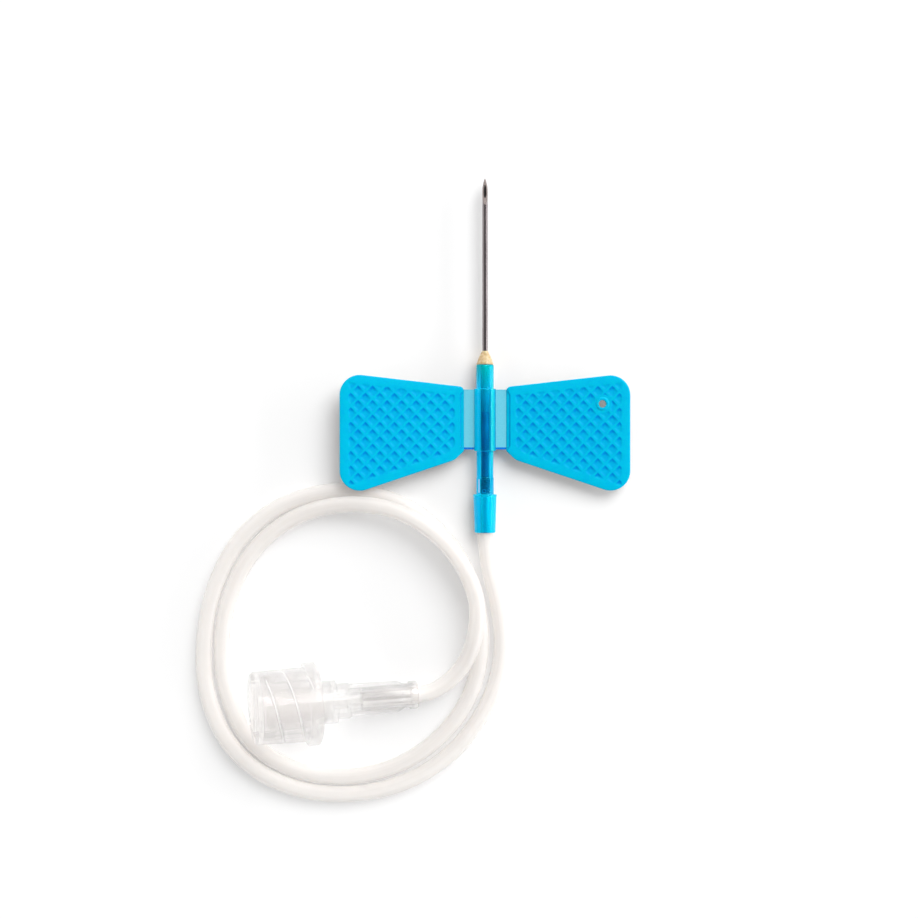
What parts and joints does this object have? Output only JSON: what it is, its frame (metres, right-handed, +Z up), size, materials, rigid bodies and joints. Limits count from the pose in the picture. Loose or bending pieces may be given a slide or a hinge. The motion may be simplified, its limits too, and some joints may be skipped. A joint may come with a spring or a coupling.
{
  "type": "winged infusion set",
  "caption": "Steel needle in a blue hub with fold-up dimpled wings, a looped clear tube and a female luer connector closed by a clear screw cap.",
  "frame": {"origin": "on the table under the middle of the box round the needle, hub and wings, below the hub's axis", "axes": "+Z up, +Y along the needle towards its point, +X towards the right wing"},
  "size_m": [0.0525, 0.0753, 0.0107],
  "materials": {
    "steel": "fine drawn and polished",
    "glue": "cured resin, glossy",
    "hub_plastic": "translucent blue, smooth moulded",
    "wing_plastic": "translucent light blue, moulded dimples",
    "tube_plastic": "soft, translucent",
    "clear_plastic": "clear, smooth moulded"
  },
  "bodies": {
    "hub": {"needle_cannula": "steel", "glue_bead": "glue", "needle_hub": "hub_plastic", "wing_sleeve": "wing_plastic", "hinge_left": "wing_plastic", "hinge_right": "wing_plastic", "tubing": "tube_plastic", "luer_hub": "clear_plastic"},
    "left_wing": {"wing_left": "wing_plastic"},
    "right_wing": {"wing_right": "wing_plastic"},
    "cap": {"luer_cap": "clear_plastic"}
  },
  "joints": [
    {"name": "left_wing_fold", "type": "hinge", "parent": "hub", "child": "left_wing", "pos_m": [-0.00193, -0.0077, 0.00142], "axis": [0, 1, 0], "range_deg": [0, 84.5], "stiffness_Nm_per_rad": 0.0004, "deforming": ["hinge_left"]},
    {"name": "right_wing_fold", "type": "hinge", "parent": "hub", "child": "right_wing", "pos_m": [0.00193, -0.0077, 0.00142], "axis": [0, -1, 0], "range_deg": [0, 90], "stiffness_Nm_per_rad": 0.0004, "deforming": ["hinge_right"]},
    {"name": "cap_off", "type": "slide", "parent": "hub", "child": "cap", "axis": [-0.9726, -0.0583, 0.225], "range_m": [0, 0.01]}
  ]
}
